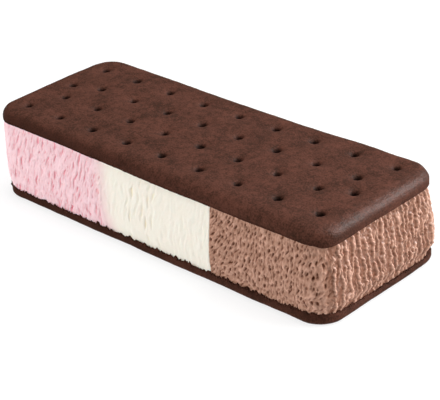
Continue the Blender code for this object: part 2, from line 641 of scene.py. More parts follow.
class WaferTree(RimTree):
    """Grows a wafer from a block.  Each step keeps the fields that later steps read.

    Each field is a value at every point of the block: a way is a part of the outward normal in
    plan, an inset is a distance inwards from the outline, and a height is counted from the
    inner face.
    """

    def round_plan(self) -> None:
        """Draw the square corners of the block's plan onto quarter discs."""
        self.x, self.y, self.z = self.position()
        radius = self["Corner Radius"]
        core_x = self["Half Length"] - radius
        core_y = self["Half Width"] - radius
        u = within((abs(self.x) - core_x) / radius, 0.0, 1.0)
        v = within((abs(self.y) - core_y) / radius, 0.0, 1.0)
        out_x = radius * u * compute("SQRT", 1.0 - v * v * 0.5)
        out_y = radius * v * compute("SQRT", 1.0 - u * u * 0.5)
        self.reach = hypotenuse(out_x, out_y)
        self.inset = radius - self.reach
        self.way_x = sign(self.x) * out_x / most(self.reach, TINY)
        self.way_y = sign(self.y) * out_y / most(self.reach, TINY)
        self.base_x = sign(self.x) * least(abs(self.x), core_x)
        self.base_y = sign(self.y) * least(abs(self.y), core_y)

    def wrap_edges(self) -> None:
        """Wrap the faces round their edges; level is 0 on the inner face and 1 on the outer."""
        thick = self["Thickness"]
        level = self.z / thick + 0.5
        self.is_outer = over(level, 0.999)
        is_inner = 1.0 - over(level, 0.001)
        self.far_corner = most(least(self.way_x, self.way_y), 0.0) * math.sqrt(2.0)
        softness = ease(self.way_x - self.way_y + 0.4 * self.far_corner, -0.8, 0.8)
        outer_edge = blend(self["Back Edge"], self["Front Edge"], softness)
        outer_rise = blend(self["Back Rise"], self["Front Rise"], softness)
        inner_edge = self["Inner Edge"]
        self.turned = 1.0 - within(self.inset / outer_edge, 0.0, 1.0)
        outer_turn = self.turned * QUARTER
        inner_turn = (1.0 - within(self.inset / inner_edge, 0.0, 1.0)) * QUARTER
        outer_inset = most(outer_edge, self.inset) - outer_edge * sine(outer_turn)
        inner_inset = most(inner_edge, self.inset) - inner_edge * sine(inner_turn)
        side_rise = inner_edge + level * (thick - outer_rise - inner_edge)
        outer_height = thick - outer_rise * (1.0 - cosine(outer_turn))
        inner_height = inner_edge * (1.0 - cosine(inner_turn))
        self.new_inset = self.is_outer * outer_inset + is_inner * inner_inset
        height = self.is_outer * outer_height + is_inner * inner_height
        self.height = height + (1.0 - self.is_outer - is_inner) * side_rise

    def bake_outline(self) -> None:
        """Let the outline wander, with one corner standing out and the back drawn in."""
        grain = self["Wander Grain"]
        wander = noise((self.x / grain, self.y / grain, 3.0), 2.0) * self["Wander"]
        keep = self["Corner Radius"] - self.new_inset + wander
        keep = keep + self.far_corner * self.far_corner * self["Lobe"]
        self.middle = ease(abs(self.x), 50.0 * MM, 5.0 * MM)
        drawn_in = self.middle * most(self.way_y, 0.0)
        drawn_in = drawn_in * ease(self.height, 0.4 * MM, 2.2 * MM)
        keep = keep - self["Waist"] * drawn_in
        self.plan_x = self.base_x + self.way_x * keep * over(self.reach, TINY)
        self.plan_y = self.base_y + self.way_y * keep * over(self.reach, TINY)

    def docking(self) -> Field:
        """Lay out the docking holes.

        Returns:
            Their middles as points at height zero: two long rows, two short leaning rows, and
            one hole near each end, turned and bowed a little as the dough crept in the oven.
        """
        pitch = self["Pitch"]
        rows = []
        for count, lean, across in ((9, 0.0, -1.5), (8, 1 / 3, -0.5), (8, 2 / 3, 0.5), (9, 0.0, 1.5)):
            rows.append(self.result("GeometryNodeMeshLine", {
                "Count": count,
                "Start Location": point((lean - 4.0) * pitch, across * self["Row Gap"], 0.0),
                "Offset": point(pitch, 0.0, 0.0),
            }))
        for side in (-1.0, 1.0):
            start = point(side * 4.0 * pitch, -side * self["End Hole Offset"], 0.0)
            rows.append(self.result("GeometryNodeMeshLine", {"Count": 1, "Start Location": start}))
        x, y, _ = self.position()
        turn = self["Row Turn"]
        from_middle = x / self["Half Length"]
        new_x = x - turn * y + self["Row Shift Along"]
        new_y = y + turn * x + self["Row Shift Across"]
        new_y = new_y + self["Row Bow"] * from_middle * from_middle
        return self.move(self.join(rows), point(new_x, new_y, 0.0))

    def press_holes(self) -> None:
        """Press each hole with a blunt pin, which also drags the skin round it down."""
        nearest = self.node("GeometryNodeProximity", {
            0: self.docking(), "Sample Position": point(self.plan_x, self.plan_y, 0.0),
        }, target_element="POINTS")
        self.hole_x, hole_y, _ = parts(self.out(nearest, "Position"))
        away = self.out(nearest, "Distance")

        # Points are drawn towards the nearest hole, so that its wall is fine enough.
        gather = blend(0.45, 1.0, ease(away, 0.0, self["Gather Reach"]))
        gather = blend(1.0, gather, self.is_outer)
        self.plan_x = self.hole_x + (self.plan_x - self.hole_x) * gather
        self.plan_y = hole_y + (self.plan_y - hole_y) * gather
        self.near = away * gather

        odd = noise((self.hole_x * 310.0, hole_y * 310.0, self["Facing"] * 5.0), 0.0)
        skew = noise((self.plan_x / (1.1 * MM), self.plan_y / (1.1 * MM), 8.0), 1.0)
        self.rim = self["Hole Radius"] * (1.0 + 0.09 * odd + 0.10 * skew)
        hollow = ease(self.near, self.rim * 1.15, self.rim * 0.6)
        dimple = compute("EXPONENT", self.near / self["Pucker Reach"] * -1.0)
        pressed = self["Hole Depth"] * hollow + self["Pucker Depth"] * dimple
        self.pressed = pressed * self.is_outer

    def roughen(self) -> None:
        """Give the baked skin slow swells, fine wrinkles and a sag along the back."""
        facing = self["Facing"]
        grain = self["Swell Grain"]
        swell = noise((self.plan_x / grain, self.plan_y / grain, facing * 2.0), 2.0)
        crease_place = (self.plan_x / (1.6 * MM), self.plan_y / (2.6 * MM), facing * 7.0)
        crease = noise(crease_place, 3.0, 0.6)
        skin = swell * self["Swell"] + crease * self["Crease"] - self["Skin Drop"]
        sag = self["Sag"] * self.middle * ease(self.plan_y, 0.0, 22.0 * MM)
        self.skin = (least(skin, 0.0) - sag) * self.is_outer

    def lap_rim(self) -> None:
        """Lap the rim over the ice cream, with teeth of torn crumb."""
        grain = self["Tooth Grain"]
        tooth = noise((self.plan_x / grain, self.plan_y / grain, 4.0), 2.0, 0.6)
        tooth = ease(tooth, 0.0, 0.7)
        rim_share = (1.0 - ease(self.height, 0.0, self["Rim Depth"])) * (1.0 - self.is_outer)
        rim_share = rim_share * ease(self.new_inset, 1.6 * MM, 0.9 * MM)
        from_west = ease(self.x + self["Half Length"], 0.0, self["West Run"])
        lip = blend(self["West Lip"], self["Lip"], from_west)
        self.on_end = ease(self.way_x, 0.6, 0.95)
        lap, end_share = self.lap(lip, self.x, self.plan_y, self.on_end)
        torn = self["Ragged"] * blend(1.0 + 0.5 * end_share, 0.6, self.on_end)
        self.teeth = (lap + tooth * torn) * rim_share

    def dress(self, mesh: Field) -> Field:
        """Store what the finish reads: where the holes get painted shade, where the skin is polished,
        and where the sides and foot get painted shade.

        Args:
            mesh: the block.

        Returns:
            The block with the values on its points.
        """
        # Painted shade mask: the cores of the docking holes.
        hole_shade_mask = ease(self.near, self.rim * 1.25, self.rim * 0.8) * self.is_outer
        shoulder = ease(self.turned, 0.08, 0.3) * ease(self.turned, 0.95, 0.75)
        shoulder = shoulder * blend(0.45, 1.0, ease(self.way_x, 0.1, 0.6))
        facing_east = ease((self.hole_x - self.plan_x) / most(self.near, TINY), 0.1, 0.8)
        funnel = ease(self.near, self.rim * 2.8, self.rim * 1.6)
        funnel = funnel * blend(0.2, 0.6, facing_east)
        polish = most(shoulder, funnel) * self.is_outer
        # Painted shade mask: the sides and shoulders, fading out towards the lit east end, and the
        # foot where the rim meets the ice cream.
        edge = most(1.0 - self.is_outer, ease(self.turned, 0.2, 0.75))
        shade_gone = ease(self.x, self["Dry From"], self["Dry To"])
        foot = ease(self.height, 1.3 * MM, 0.4 * MM) * (1.0 - self.is_outer)
        foot = foot * (1.0 - self.on_end) * 0.6
        moisture = most(edge * (1.0 - shade_gone), foot)
        for name, value in (("pit", hole_shade_mask), ("polish", polish), ("moisture", moisture)):
            mesh = self.remember(mesh, name, value)
        return mesh

    def grow(self) -> Field:
        """Take every step in turn.

        Returns:
            The wafer, with its faces turned outwards for either facing.
        """
        block = self.result("GeometryNodeMeshCube", {
            "Size": point(self["Half Length"] * 2.0, self["Half Width"] * 2.0, self["Thickness"]),
            "Vertices X": self["Cells Along"],
            "Vertices Y": self["Cells Across"],
            "Vertices Z": self["Cells Up"],
        })
        self.round_plan()
        self.wrap_edges()
        self.bake_outline()
        self.press_holes()
        self.roughen()
        self.lap_rim()
        rise = self.height - self.pressed + self.skin - self.teeth
        new_z = self["Inner Face"] + self["Facing"] * rise
        mesh = self.dress(block)
        mesh = self.move(mesh, point(self.plan_x, self.plan_y, new_z))
        if self.sizes["Facing"] == Facing.DOWN.value:
            mesh = self.result("GeometryNodeFlipFaces", {"Mesh": mesh})
        return mesh


@dataclass
class Wafer:
    """A rounded oblong wafer with docking holes in its outer face.

    An edge is how far a shoulder's rounding reaches inwards, and a rise how far down it goes.
    West is the strawberry end.  Painted shade darkens the rim's sides and foot, and fades out along
    the length between two given places towards the lit east end.
    """

    node: str
    facing: Facing
    rim: Rim
    finish: bpy.types.Material
    back_edge: float
    back_rise: float
    front_edge: float
    front_rise: float
    lobe: float
    west_lip: float
    west_run: float
    ragged: float
    dry_from: float
    dry_to: float
    waist: float = 0.0
    sag: float = 0.0
    corner_radius: float = 7.4 * MM
    inner_edge: float = 0.25 * MM
    pitch: float = 13.5 * MM
    row_gap: float = 10.2 * MM
    row_shift_along: float = -0.9 * MM
    row_shift_across: float = 0.45 * MM
    row_turn: float = 0.010
    row_bow: float = 0.5 * MM
    end_hole_offset: float = 2.0 * MM
    hole_radius: float = 1.12 * MM
    hole_depth: float = 1.4 * MM
    pucker_reach: float = 1.5 * MM
    pucker_depth: float = 1.7 * MM
    gather_reach: float = 4.2 * MM
    wander: float = 0.22 * MM
    wander_grain: float = 17.0 * MM
    swell: float = 0.10 * MM
    swell_grain: float = 11.0 * MM
    crease: float = 0.04 * MM
    skin_drop: float = 0.08 * MM
    rim_depth: float = 1.1 * MM
    tooth_grain: float = 1.3 * MM
    cell: ClassVar[float] = 0.42 * MM
    cells_up: ClassVar[int] = 9

    def build(self) -> bpy.types.Object:
        """Build the wafer.

        Returns:
            A plain mesh that stands for the wafer's solid.
        """
        low, high = (Vector(corner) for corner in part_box(self.node))
        length = high.x - low.x
        width = high.y - low.y
        shape = WaferTree(self.node + "_baked", {
            **sizes_of(self),
            **sizes_of(self.rim),
            "Half Length": length / 2,
            "Half Width": width / 2,
            "Thickness": high.z - low.z,
            "Inner Face": low.z if self.facing is Facing.UP else high.z,
            "Facing": self.facing.value,
            "Cells Along": round(length / self.cell),
            "Cells Across": round(width / self.cell),
            "Cells Up": self.cells_up,
            "Finish": self.finish,
        })
        piece = shape.finish(shape.grow())
        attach(piece, BODY)
        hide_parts(self.node)
        return piece


# ---- ice cream ----


class End(Enum):
    """How a flavour ends away from its flat cut."""

    ROUND = "round"
    CUT = "cut"


class Flow(Enum):
    """Whose colour runs into a flavour over the strawberry cut, and which way that is."""

    VANILLA = 1.0
    STRAWBERRY = -1.0
    NONE = 0.0


@dataclass(frozen=True)
class Cut:
    """A cut between flavours: where it stands along the length, and how far its middle bows."""

    bottom: float
    top: float
    bow: float = 0.0

    def at(self, share: Field) -> Field:
        """Return the cut's place along the length at a share of the height."""
        straight = self.bottom + share * (self.top - self.bottom)
        return straight + share * (1.0 - share) * (4.0 * self.bow)


@dataclass
class Slab:
    """Sizes that the three flavours share.

    A tuck is how far the skin stands back where it meets a wafer, and a sink is how far the
    block reaches into one.  The blend is where strawberry and vanilla run into each other.
    """

    half_length: float
    half_width: float
    bottom: float
    top: float
    strawberry_cut: Cut
    chocolate_cut: Cut
    corner_radius: float = 7.2 * MM
    side_bulge: float = 0.5 * MM
    bottom_tuck: float = 0.42 * MM
    top_tuck: float = 0.4 * MM
    hold: float = 0.05
    side_skew: float = 0.75
    top_sink: float = 0.5 * MM
    bottom_sink: float = 0.25 * MM
    blend_shift: float = 2.7 * MM
    blend_lean: float = 0.11
    blend_reach: float = 4.6 * MM

    def bend(self) -> float:
        """Return the length of the outline from the middle of an end to where a side starts."""
        return self.half_width - self.corner_radius + self.corner_radius * QUARTER


@dataclass(frozen=True)
class Pits:
    """One layer of scattered oval pits in the skin, in mm.

    They stand apart by across and up, and wide and tall are their half sizes as shares of that.
    The shift moves a layer off the others.
    """

    across: float
    up: float
    wide: float
    tall: float
    depth: float
    shift: Tuple[float, float] = (0.0, 0.0)

    def cut(self, along: Field, z: Field) -> Field:
        """Return how deep the pits are at a place on the skin."""
        spot = (along / self.across + self.shift[0], z / self.up + self.shift[1])
        return self.depth * flecks(*spot, self.wide, self.tall)


class FlavourTree(Shape):
    """Grows a flavour from a tube.  Each step keeps the fields that later steps read."""

    MIDDLE = 13.0
    CHAINS = Pits(1.40, 2.15, 0.25, 0.43, depth=0.80)
    PINHOLES = Pits(0.95, 1.5, 0.28, 0.42, depth=0.38, shift=(7.3, 3.1))
    LONG_SLITS = Pits(2.4, 6.5, 0.20, 0.44, depth=0.34)
    SLITS = Pits(1.5, 3.8, 0.25, 0.44, depth=0.26, shift=(4.7, 2.3))
    NICKS = Pits(0.95, 1.6, 0.28, 0.40, depth=0.18, shift=(1.9, 6.1))
    FOLDS = Pits(2.0, 7.0, 0.32, 0.45, depth=0.36)

    def __init__(self, name: str, sizes: Dict[str, object], flavour: "Flavour") -> None:
        """Make the tree for one flavour.

        Args:
            name: the tree's name.
            sizes: the inputs by name, each with its value.
            flavour: the flavour to grow.
        """
        super().__init__(name, sizes)
        self.flavour = flavour
        self.slab = flavour.slab

    def chocolate_side(self, x: Field, run: Field, z: Field) -> Field:
        """Return the relief of chocolate's long sides: leaning pits strung in chains.

        Args:
            x: place along the length, in mm.
            run: place along the outline, in mm.
            z: height, in mm.

        Returns:
            The relief in mm.
        """
        lean = blend(0.62, 0.24, ease(x, 24.0, 44.0))
        wave = noise((run / 3.0, 1.5, z / 2.4), 1.0)
        along = run - lean * (z - self.MIDDLE) + 0.28 * wave
        weave = noise((along / 0.9, 8.5, z / 3.2), 0.0)
        thread = 1.0 - ease(abs(weave), 0.0, 0.4)
        streak = noise((along / 0.55, 2.5, z / 1.5), 2.0, 0.65)
        pitted = 0.04 - self.CHAINS.cut(along, z) - self.PINHOLES.cut(along, z)
        return pitted + 0.15 * thread + 0.11 * streak

    def chocolate_end(self, run: Field, z: Field) -> Field:
        """Return the relief of the torn end: thin wavy upright ridges that meet and part.

        Args:
            run: place along the outline, in mm.
            z: height, in mm.

        Returns:
            The relief in mm.
        """
        kink = noise((run / 4.0, 0.5, z / 1.05), 1.0)
        sway = noise((run / 6.0, 7.5, z / 6.0), 1.0)
        across = run + 0.06 * (z - self.MIDDLE) + 0.42 * kink + 0.40 * sway
        uneven = noise((across / 5.0, 1.5, z / 12.0), 1.0)
        count = across * (0.48 + 0.0033 * across) + 0.35 * uneven
        fade = noise((run / 1.8, 5.5, z / 2.2), 1.0)
        main = comb(count, 0.54, 0.95) * ease(fade, -0.9, 0.1)
        slant = (run - 0.32 * (z - self.MIDDLE) + 0.40 * kink) / 2.6 + 0.35 * sway
        gate = noise((run / 2.2, 11.5, z / 3.2), 1.0)
        branch = comb(slant, 0.70, 0.98) * ease(gate, -0.2, 0.4)
        ripple = noise((run / 0.9, 9.5, z / 0.7), 2.0)
        return -0.30 + 0.72 * most(main, 0.8 * branch) + 0.15 * ripple

    def strawberry(self, run: Field, z: Field) -> Field:
        """Return strawberry's relief: a soft skin with leaning slits.

        Args:
            run: place along the outline, in mm.
            z: height, in mm.

        Returns:
            The relief in mm.
        """
        wave = noise((run / 2.4, 1.5, z / 2.0), 1.0)
        along = run + 0.30 * (z - self.MIDDLE) + 0.2 * wave
        slit = 0.10 - self.LONG_SLITS.cut(along, z) - self.SLITS.cut(along, z)
        fold = noise((along / 0.8, 4.5, z / 4.5), 2.0, 0.6)
        return slit - self.NICKS.cut(along, z) + 0.13 * fold

    def vanilla(self, x: Field, run: Field, z: Field) -> Field:
        """Return vanilla's relief: nearly smooth, with a few long faint folds.

        Args:
            x: place along the length, in mm.
            run: place along the outline, in mm.
            z: height, in mm.

        Returns:
            The relief in mm.
        """
        along = run + 0.16 * (z - self.MIDDLE)
        fold = self.FOLDS.cut(along, z) * (0.25 + 0.75 * ease(abs(x + 1.5), 9.0, 3.0))
        ripple = noise((along, 1.5, z / 3.2), 2.0)
        return 0.10 - fold + 0.12 * ripple

    def leaning(self, end: str) -> Field:
        """Return how far along the length the near cut or the far end stands.

        Args:
            end: "Cut" or "Far", as the inputs' names begin.

        Returns:
            The place at the height of each point.
        """
        arch = self.share * (1.0 - self.share) * 4.0
        straight = blend(self[end + " Bottom"], self[end + " Top"], self.share)
        return straight + arch * self[end + " Bow"]

    def draw_outline(self) -> None:
        """Run from the middle of the end round a corner and along a side to the cut's middle."""
        x, y, z = self.position()
        count = self["Around"]
        radius = self["Corner Radius"]
        self.share = within(z + 0.5, 0.0, 1.0)
        turn = compute("ARCTAN2", y, x) / math.pi
        self.half = sign(turn)
        self.way = sign(self["Far Top"] - self["Cut Top"])
        self.last = over(abs(turn), 1.0 - 1.0 / count)
        run_share = within(abs(turn) / (1.0 - 2.0 / count), 0.0, 1.0)
        self.reach_y = self["Half Width"] - radius
        cut_x = self.leaning("Cut")
        far_x = self.leaning("Far")
        side_run = abs(far_x - cut_x) - radius
        end_part = self["End Share"]
        arc = radius * QUARTER
        past = most(run_share - end_part, 0.0) / (1.0 - end_part) * (arc + side_run)
        self.on_end = least(run_share / end_part, 1.0) * self.reach_y
        self.angle = within(past / most(radius, 1e-7), 0.0, QUARTER)
        self.along_side = most(past - arc, 0.0)
        self.normal_x = cosine(self.angle)
        self.normal_y = sine(self.angle)
        from_end = radius * (1.0 - self.normal_x) + self.along_side
        self.plan_x = blend(far_x - self.way * from_end, cut_x, self.last)
        plan_y = self.half * (self.on_end + radius * self.normal_y)
        self.plan_y = blend(plan_y, 0.0, self.last)
        self.height = blend(self["Bottom"], self["Top"], self.share)

    def swell(self) -> None:
        """Let the skin swell past the wafers between its held top and bottom."""
        hold = self.slab.hold
        free = within((self.share - hold) / (1.0 - 2.0 * hold), 0.0, 1.0)
        diagonal = sine(self.angle * 2.0)
        corner = (1.0 + self["Corner Bulge"] * diagonal) * ease(free, -0.04, 0.18)
        low_tuck = self["Corner Tuck"] * diagonal * ease(free, 0.2, 0.0)
        low_tuck = self["Bottom Tuck"] + low_tuck
        tuck = blend(low_tuck, self["Top Tuck"], ease(self.share, 0.1, 0.9))
        swells = []
        for bulge, skew in (("End Bulge", self.flavour.skew), ("Side Bulge", self.slab.side_skew)):
            arch = sine(math.pi * compute("POWER", free, skew)) * corner
            swells.append((self[bulge] + tuck) * arch - tuck)
        self.end_swell, self.side_swell = swells

    def runs(self) -> List[Field]:
        """Measure along the whole slab's outline.

        Returns:
            The run in mm from the middle of the chocolate end, and from the strawberry end's.
        """
        slab = self.slab
        runs = []
        for side in (1.0, -1.0):
            bend = slab.bend()
            if self.flavour.end is End.ROUND and side * self.flavour.far.top > 0.0:
                bend = self.on_end + self["Corner Radius"] * self.angle
            past_corner = slab.half_length - slab.corner_radius - side * self.plan_x
            runs.append(self.half * (bend + most(past_corner, 0.0)) / MM)
        return runs

    def relief(self) -> Field:
        """Work out how far the skin stands out.

        Returns:
            The relief in mm, the same for every flavour, so that they meet at their cuts.
        """
        past_east = self.plan_x - self.slab.chocolate_cut.at(self.share)
        past_west = self.plan_x - self.slab.strawberry_cut.at(self.share)
        east = ease(past_east, -0.15 * MM, 0.35 * MM)
        west = ease(past_west, 2.5 * MM, -1.5 * MM)
        x, y, z = (part / MM for part in (self.plan_x, self.plan_y, self.height))
        from_east, from_west = self.runs()
        drift = noise((x / 6.0, y / 6.0, z / 4.5), 1.0) * 0.5
        grain = noise((x / 0.75, y / 0.75, z / 0.9), 2.0, 0.6)
        side = self.chocolate_side(x, from_east + drift, z)
        torn = self.chocolate_end(from_east, z)
        on_end = ease(abs(self.normal_x) * self["Round End"], 0.6, 0.95)
        brown = blend(side, torn, on_end) + 0.04 * grain
        pink = self.strawberry(from_west + drift, z) + 0.025 * grain
        white = self.vanilla(x, from_west + drift, z) + 0.01 * grain
        return blend(blend(white, pink, west), brown, east)

    def stray(self) -> Value:
        """Work out how much of the colour over the strawberry cut shows.

        Returns:
            A share between 0 and 1.
        """
        slab = self.slab
        flow = self.flavour.flow
        if flow is Flow.NONE:
            return 0.0
        middle = slab.strawberry_cut.top + slab.blend_shift
        slope = slab.blend_lean * (self.height - slab.bottom)
        patch = (self.plan_x / (3.5 * MM), self.plan_y / (3.5 * MM), self.height / (7 * MM))
        past = self.plan_x - middle + slope + noise(patch, 2.0) * (0.5 * MM)
        return ease(past * flow.value, -slab.blend_reach, slab.blend_reach)

    def grow(self) -> Field:
        """Take every step in turn; the skin carries the relief and the cuts stay flat.

        Returns:
            The flavour, with its relief and its neighbour's share stored on its points.
        """
        tube = self.result("GeometryNodeMeshCylinder", {
            "Vertices": self["Around"],
            "Side Segments": self["Levels"],
            "Radius": 1.0,
            "Depth": 1.0,
        }, fill_type="NGON")
        self.draw_outline()
        self.swell()
        relief = self.relief()
        hold = self.slab.hold
        margin = ease(self.share, hold, 2.0 * hold)
        margin = margin * ease(self.share, 1.0 - hold, 1.0 - 2.0 * hold)
        stand = relief * MM * blend(0.2, 1.0, margin)
        round_end = self["Round End"]
        skin_x = round_end * (1.0 - self.last) * (self.end_swell + stand)
        skin_y = (1.0 - self.last) * (self.side_swell + stand)
        on_side = over(self.along_side + self.on_end, self.reach_y * 0.999)
        skin_y = skin_y * blend(on_side, 1.0, round_end)
        new_x = self.plan_x + self.way * self.normal_x * skin_x
        new_y = self.plan_y + self.half * self.normal_y * skin_y
        mesh = self.remember(tube, "relief", ease(relief, -0.55, 0.45))
        mesh = self.remember(mesh, "stray", self.stray())
        return self.move(mesh, point(new_x, new_y, self.height))


@dataclass
class Flavour:
    """One flavour: a closed block from a flat cut to a round end or to another cut."""

    node: str
    slot: str
    slab: Slab
    cut: Cut
    far: Cut
    end: End
    flow: Flow
    finish: bpy.types.Material
    end_bulge: float = 0.0
    corner_bulge: float = 0.0
    corner_tuck: float = 0.0
    skew: float = 1.0
    step_around: float = 0.17 * MM
    levels: int = 112
    cut_weight: float = 0.06

    def build(self) -> bpy.types.Object:
        """Build the flavour.

        Returns:
            A plain mesh that stands for the flavour's solid.
        """
        slab = self.slab
        is_round = self.end is End.ROUND
        radius = slab.corner_radius if is_round else 0.0
        side_run = abs(self.far.top - self.cut.top) - radius + radius * QUARTER
        end_run = (slab.half_width - radius) * (1.0 if is_round else self.cut_weight)
        shape = FlavourTree(self.node + "_slab", {
            **sizes_of(self.cut, "Cut "),
            **sizes_of(self.far, "Far "),
            "Half Width": slab.half_width,
            "Bottom": slab.bottom - slab.bottom_sink,
            "Top": slab.top + slab.top_sink,
            "Corner Radius": radius,
            "Round End": float(is_round),
            "End Share": end_run / (end_run + side_run),
            "End Bulge": self.end_bulge,
            "Corner Bulge": self.corner_bulge,
            "Side Bulge": slab.side_bulge,
            "Bottom Tuck": slab.bottom_tuck,
            "Top Tuck": slab.top_tuck,
            "Corner Tuck": self.corner_tuck,
            "Around": 2 * round((end_run + side_run) / self.step_around) + 2,
            "Levels": self.levels,
            "Finish": self.finish,
        }, self)
        piece = shape.finish(shape.grow())
        self.turn_out(piece.data)
        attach(piece, BODY)
        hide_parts(self.node)
        return piece

    def turn_out(self, mesh: bpy.types.Mesh) -> None:
        """Turn the faces outwards if the outline ran the other way round.

        Args:
            mesh: the closed block.
        """
        mesh.calc_loop_triangles()
        volume = 0.0
        for triangle in mesh.loop_triangles:
            first, second, third = (mesh.vertices[index].co for index in triangle.vertices)
            volume += first.dot(second.cross(third))
        if volume < 0.0:
            mesh.flip_normals()


# ---- crumbs ----


@dataclass
class Crumbs:
    """Torn crumbs along the rim where the lower wafer meets the ice cream."""

    node: str
    rim: Rim
    finish: bpy.types.Material
    corner_radius: float
    smallest: float = 0.14 * MM
    largest: float = 0.42 * MM
    count: int = 560
    seed: int = 7
    inset: ClassVar[float] = 0.12 * MM
    lift: ClassVar[float] = 0.12 * MM
    stray_low: ClassVar[Triple] = (-0.15 * MM, -0.15 * MM, -0.25 * MM)
    stray_high: ClassVar[Triple] = (0.15 * MM, 0.15 * MM, 0.2 * MM)
    full_turn: ClassVar[Triple] = (6.3, 6.3, 6.3)
    end_run: ClassVar[Tuple[float, float]] = (4.0 * MM, 1.5 * MM)
    corner_steps: ClassVar[int] = 12

    def rim_spots(self, shape: RimTree, end: float) -> Field:
        """Scatter points along the rim, at the height that it laps up to.

        Args:
            shape: the crumbs' tree.
            end: how far along the length the wafer reaches.

        Returns:
            The points.
        """
        oblong = shape.result("GeometryNodeCurvePrimitiveQuadrilateral", {
            "Width": shape["Length"], "Height": shape["Width"],
        })
        rim = shape.result("GeometryNodeFilletCurve", {
            "Curve": oblong, "Radius": shape["Corner Radius"], "Count": self.corner_steps,
        }, mode="POLY")
        spots = shape.result("GeometryNodeCurveToPoints", {
            "Curve": rim, "Count": shape["Count"],
        }, mode="COUNT")
        scatter = shape.result("FunctionNodeRandomValue", {
            0: self.stray_low, 1: self.stray_high, "Seed": shape["Seed"],
        }, data_type="FLOAT_VECTOR")
        placed = shape.result("GeometryNodeSetPosition", {"Geometry": spots, "Offset": scatter})
        x, y, _ = shape.position()
        on_end = ease(x, end - self.end_run[0], end - self.end_run[1])
        lap, _ = shape.lap(shape["Lip"], x, y, on_end)
        lift = point(0.0, 0.0, shape["Rim Height"] + lap)
        return shape.result("GeometryNodeSetPosition", {"Geometry": placed, "Offset": lift})

    def build(self) -> bpy.types.Object:
        """Build the crumbs.

        Returns:
            One plain mesh with every crumb.
        """
        low, high = (Vector(corner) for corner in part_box(self.node))
        shape = RimTree("rim_crumbs", {
            **sizes_of(self),
            **sizes_of(self.rim),
            "Length": high.x - low.x - 2 * self.inset,
            "Width": high.y - low.y - 2 * self.inset,
            "Rim Height": high.z + self.lift,
            "Corner Radius": self.corner_radius - self.inset,
            "Count": self.count,
            "Seed": self.seed,
            "Finish": self.finish,
        })
        spots = self.rim_spots(shape, high.x)
        turned = shape.result("FunctionNodeRandomValue", {
            0: (0.0, 0.0, 0.0), 1: self.full_turn, "Seed": shape["Seed"],
        }, data_type="FLOAT_VECTOR")
        sized = shape.node("FunctionNodeRandomValue", {
            2: shape["Smallest"], 3: shape["Largest"], "Seed": shape["Seed"],
        }, data_type="FLOAT")
        size = shape.out(sized, 1)
        scattered = shape.result("GeometryNodeInstanceOnPoints", {
            "Points": spots,
            "Instance": shape.result("GeometryNodeMeshIcoSphere", {"Radius": 1.0, "Subdivisions": 1}),
            "Rotation": turned,
            "Scale": point(size, size * 0.8, size * 0.7),
        })
        piece = shape.finish(scattered)
        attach(piece, BODY)
        return piece


# ---- studio ----


@dataclass(frozen=True)
class Lamp:
    """A square soft light that looks at the sandwich."""

    name: str
    azimuth: float
    elevation: float
    distance: float
    size: float
    power: float
    glossy: bool = True
    diffuse: bool = True

    def build(self) -> None:
        """Hang the light round the origin and turn it to the sandwich."""
        data = bpy.data.lights.new(self.name, "AREA")
        data.size = self.size
        data.energy = self.power
        lamp = bpy.data.objects.new(self.name, data)
        lamp.visible_glossy = self.glossy
        lamp.visible_diffuse = self.diffuse
        bpy.context.scene.collection.objects.link(lamp)
        back = facing_back(self.azimuth, self.elevation)
        lamp.location = back * self.distance
        lamp.rotation_euler = back.to_track_quat("Z", "Y").to_euler()


def facing_back(azimuth: float, elevation: float) -> Vector:
    """Return the way from the object to a viewer.

    Args:
        azimuth: degrees round the object; 0 stands on -Y and 90 on +X.
        elevation: degrees above the horizon.

    Returns:
        A unit vector.
    """
    turn = math.radians(azimuth)
    rise = math.radians(elevation)
    return Vector((
        math.sin(turn) * math.cos(rise),
        -math.cos(turn) * math.cos(rise),
        math.sin(rise),
    ))


